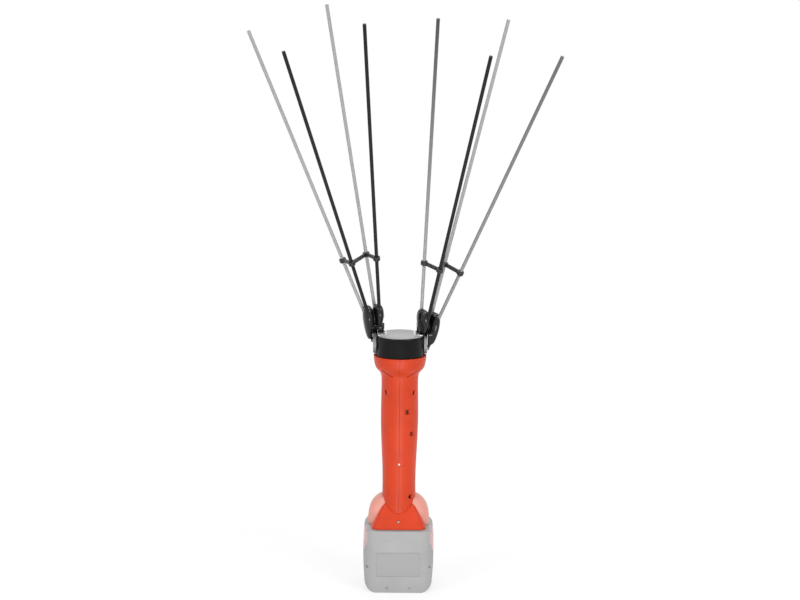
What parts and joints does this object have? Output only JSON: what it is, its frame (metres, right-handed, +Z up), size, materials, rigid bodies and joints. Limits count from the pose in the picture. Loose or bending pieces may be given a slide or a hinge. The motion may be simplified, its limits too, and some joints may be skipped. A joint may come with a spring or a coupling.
{
  "type": "electric olive harvester",
  "caption": "Handheld electric olive harvester: two counter-rocking hands of straight rods on a geared crank head, an upright grip with a trigger, and a clip-on battery pack.",
  "frame": {"origin": "middle of the battery pack's flat underside", "axes": "+Z up along the handle to the rod tips, +X to the tool's right as the picture shows it, +Y away from the viewer, towards the trigger"},
  "size_m": [0.3398, 0.2025, 0.6654],
  "materials": {
    "orange_shell": "satin moulded",
    "salmon_dock": "satin moulded",
    "pack_grey": "fine moulded texture",
    "button_tint": "moulded grip ribs",
    "drum_black": "gloss moulded",
    "cap_grey": "fine bead blasted",
    "hand_black": "gloss moulded",
    "brace_black": "matte moulded",
    "rod_dark": "dark drawn carbon tube",
    "rod_light": "grey drawn carbon tube",
    "bright_steel": "machined",
    "post_black": "blackened steel",
    "screw_steel": "zinc plated",
    "gear_steel": "cut and hardened",
    "bearing_bronze": "sintered bronze",
    "motor_steel": "drawn steel can",
    "cast_alloy": "as cast",
    "contact_brass": "plated contact",
    "cell_wrap": "sleeved cell can",
    "inner_black": "plain moulded",
    "board_green": "lacquered board",
    "lead_rubber": "sleeved lead",
    "lamp_lens": "clear lens"
  },
  "bodies": {
    "housing": {"battery_dock": "salmon_dock", "control_board": "board_green", "crank_bearings": "bearing_bronze", "dock_contacts": "contact_brass", "foot_cover": "orange_shell", "gearbox_cover": "cast_alloy", "guide_plates": "bright_steel", "guide_posts": "post_black", "head_cap": "cap_grey", "head_case": "drum_black", "indicator_lamp": "lamp_lens", "left_shell": "orange_shell", "motor_can": "motor_steel", "motor_endcap": "inner_black", "motor_mount": "cast_alloy", "motor_screws": "screw_steel", "pinion_bearing": "bearing_bronze", "plate_screws": "screw_steel", "power_leads": "lead_rubber", "right_shell": "orange_shell", "ring_gear": "gear_steel", "shell_screws": "screw_steel", "switch_body": "inner_black", "trigger_pin": "bright_steel"},
    "crank": {"crankshaft": "bright_steel", "crank_disc_left": "bright_steel", "crank_disc_right": "bright_steel", "disc_bushes": "bearing_bronze", "bevel_gear": "gear_steel"},
    "left_hand": {"hand_left": "hand_black", "hand_pin_left": "bright_steel", "rod_left_1": "rod_light", "rod_left_2": "rod_dark", "rod_left_3": "rod_dark", "rod_left_4": "rod_light", "brace_left": "brace_black"},
    "right_hand": {"hand_right": "hand_black", "hand_pin_right": "bright_steel", "rod_right_1": "rod_light", "rod_right_2": "rod_dark", "rod_right_3": "rod_dark", "rod_right_4": "rod_light", "brace_right": "brace_black"},
    "carrier": {"planet_carrier": "gear_steel", "bevel_pinion": "gear_steel"},
    "planet_1": {"planet_gear_1": "gear_steel"},
    "planet_2": {"planet_gear_2": "gear_steel"},
    "planet_3": {"planet_gear_3": "gear_steel"},
    "rotor": {"motor_shaft": "gear_steel", "sun_gear": "gear_steel"},
    "trigger": {"trigger": "inner_black"},
    "lock": {"lock_button": "inner_black"},
    "pack": {"battery_case": "pack_grey", "battery_lid": "pack_grey", "battery_cells": "cell_wrap", "cell_holders": "inner_black", "battery_contacts": "contact_brass"},
    "pack_button_left": {"pack_button_left": "button_tint"},
    "pack_button_right": {"pack_button_right": "button_tint"}
  },
  "joints": [
    {"name": "crank_turn", "type": "hinge", "parent": "housing", "child": "crank", "pos_m": [0, 0, 0.283], "axis": [1, 0, 0], "range_deg": [-90, 90]},
    {"name": "left_hand_rock", "type": "hinge", "parent": "crank", "child": "left_hand", "pos_m": [-0.0307, 0, 0.2874], "axis": [1, 0, 0], "range_deg": [-104, 104]},
    {"name": "right_hand_rock", "type": "hinge", "parent": "crank", "child": "right_hand", "pos_m": [0.0307, 0, 0.2786], "axis": [1, 0, 0], "range_deg": [-77, 77]},
    {"name": "carrier_turn", "type": "hinge", "parent": "housing", "child": "carrier", "pos_m": [0, 0, 0.247], "axis": [0, 0, 1], "range_deg": [-181, 181]},
    {"name": "planet_1_spin", "type": "hinge", "parent": "carrier", "child": "planet_1", "pos_m": [0.00945, 0, 0.24], "axis": [0, 0, 1], "range_deg": [-505, 505]},
    {"name": "planet_2_spin", "type": "hinge", "parent": "carrier", "child": "planet_2", "pos_m": [-0.00473, 0.00818, 0.24], "axis": [0, 0, 1], "range_deg": [-505, 505]},
    {"name": "planet_3_spin", "type": "hinge", "parent": "carrier", "child": "planet_3", "pos_m": [-0.00473, -0.00818, 0.24], "axis": [0, 0, 1], "range_deg": [-505, 505]},
    {"name": "motor_turn", "type": "hinge", "parent": "housing", "child": "rotor", "pos_m": [0, 0, 0.21], "axis": [0, 0, 1], "range_deg": [-811, 811]},
    {"name": "trigger_pull", "type": "hinge", "parent": "housing", "child": "trigger", "pos_m": [0, 0.0175, 0.181], "axis": [-1, 0, 0], "range_deg": [0, 9], "stiffness_Nm_per_rad": 0.8, "springref_deg": -5.73},
    {"name": "lock_slide", "type": "slide", "parent": "housing", "child": "lock", "axis": [0, 0, 1], "range_m": [0, 0.004]},
    {"name": "pack_slide", "type": "slide", "parent": "housing", "child": "pack", "axis": [0, 0, -1], "range_m": [0, 0.06]},
    {"name": "pack_button_left_press", "type": "slide", "parent": "pack", "child": "pack_button_left", "axis": [1, 0, 0], "range_m": [0, 0.003], "stiffness_N_per_m": 400, "springref_m": -0.002},
    {"name": "pack_button_right_press", "type": "slide", "parent": "pack", "child": "pack_button_right", "axis": [-1, 0, 0], "range_m": [0, 0.003], "stiffness_N_per_m": 400, "springref_m": -0.002}
  ],
  "couplings": [
    {"joint": "left_hand_rock", "follows": "crank_turn", "ratio": -1.1526},
    {"joint": "right_hand_rock", "follows": "crank_turn", "ratio": -0.84737},
    {"joint": "carrier_turn", "follows": "crank_turn", "ratio": 2},
    {"joint": "planet_1_spin", "follows": "crank_turn", "ratio": -5.6},
    {"joint": "planet_2_spin", "follows": "crank_turn", "ratio": -5.6},
    {"joint": "planet_3_spin", "follows": "crank_turn", "ratio": -5.6},
    {"joint": "motor_turn", "follows": "crank_turn", "ratio": 9}
  ]
}
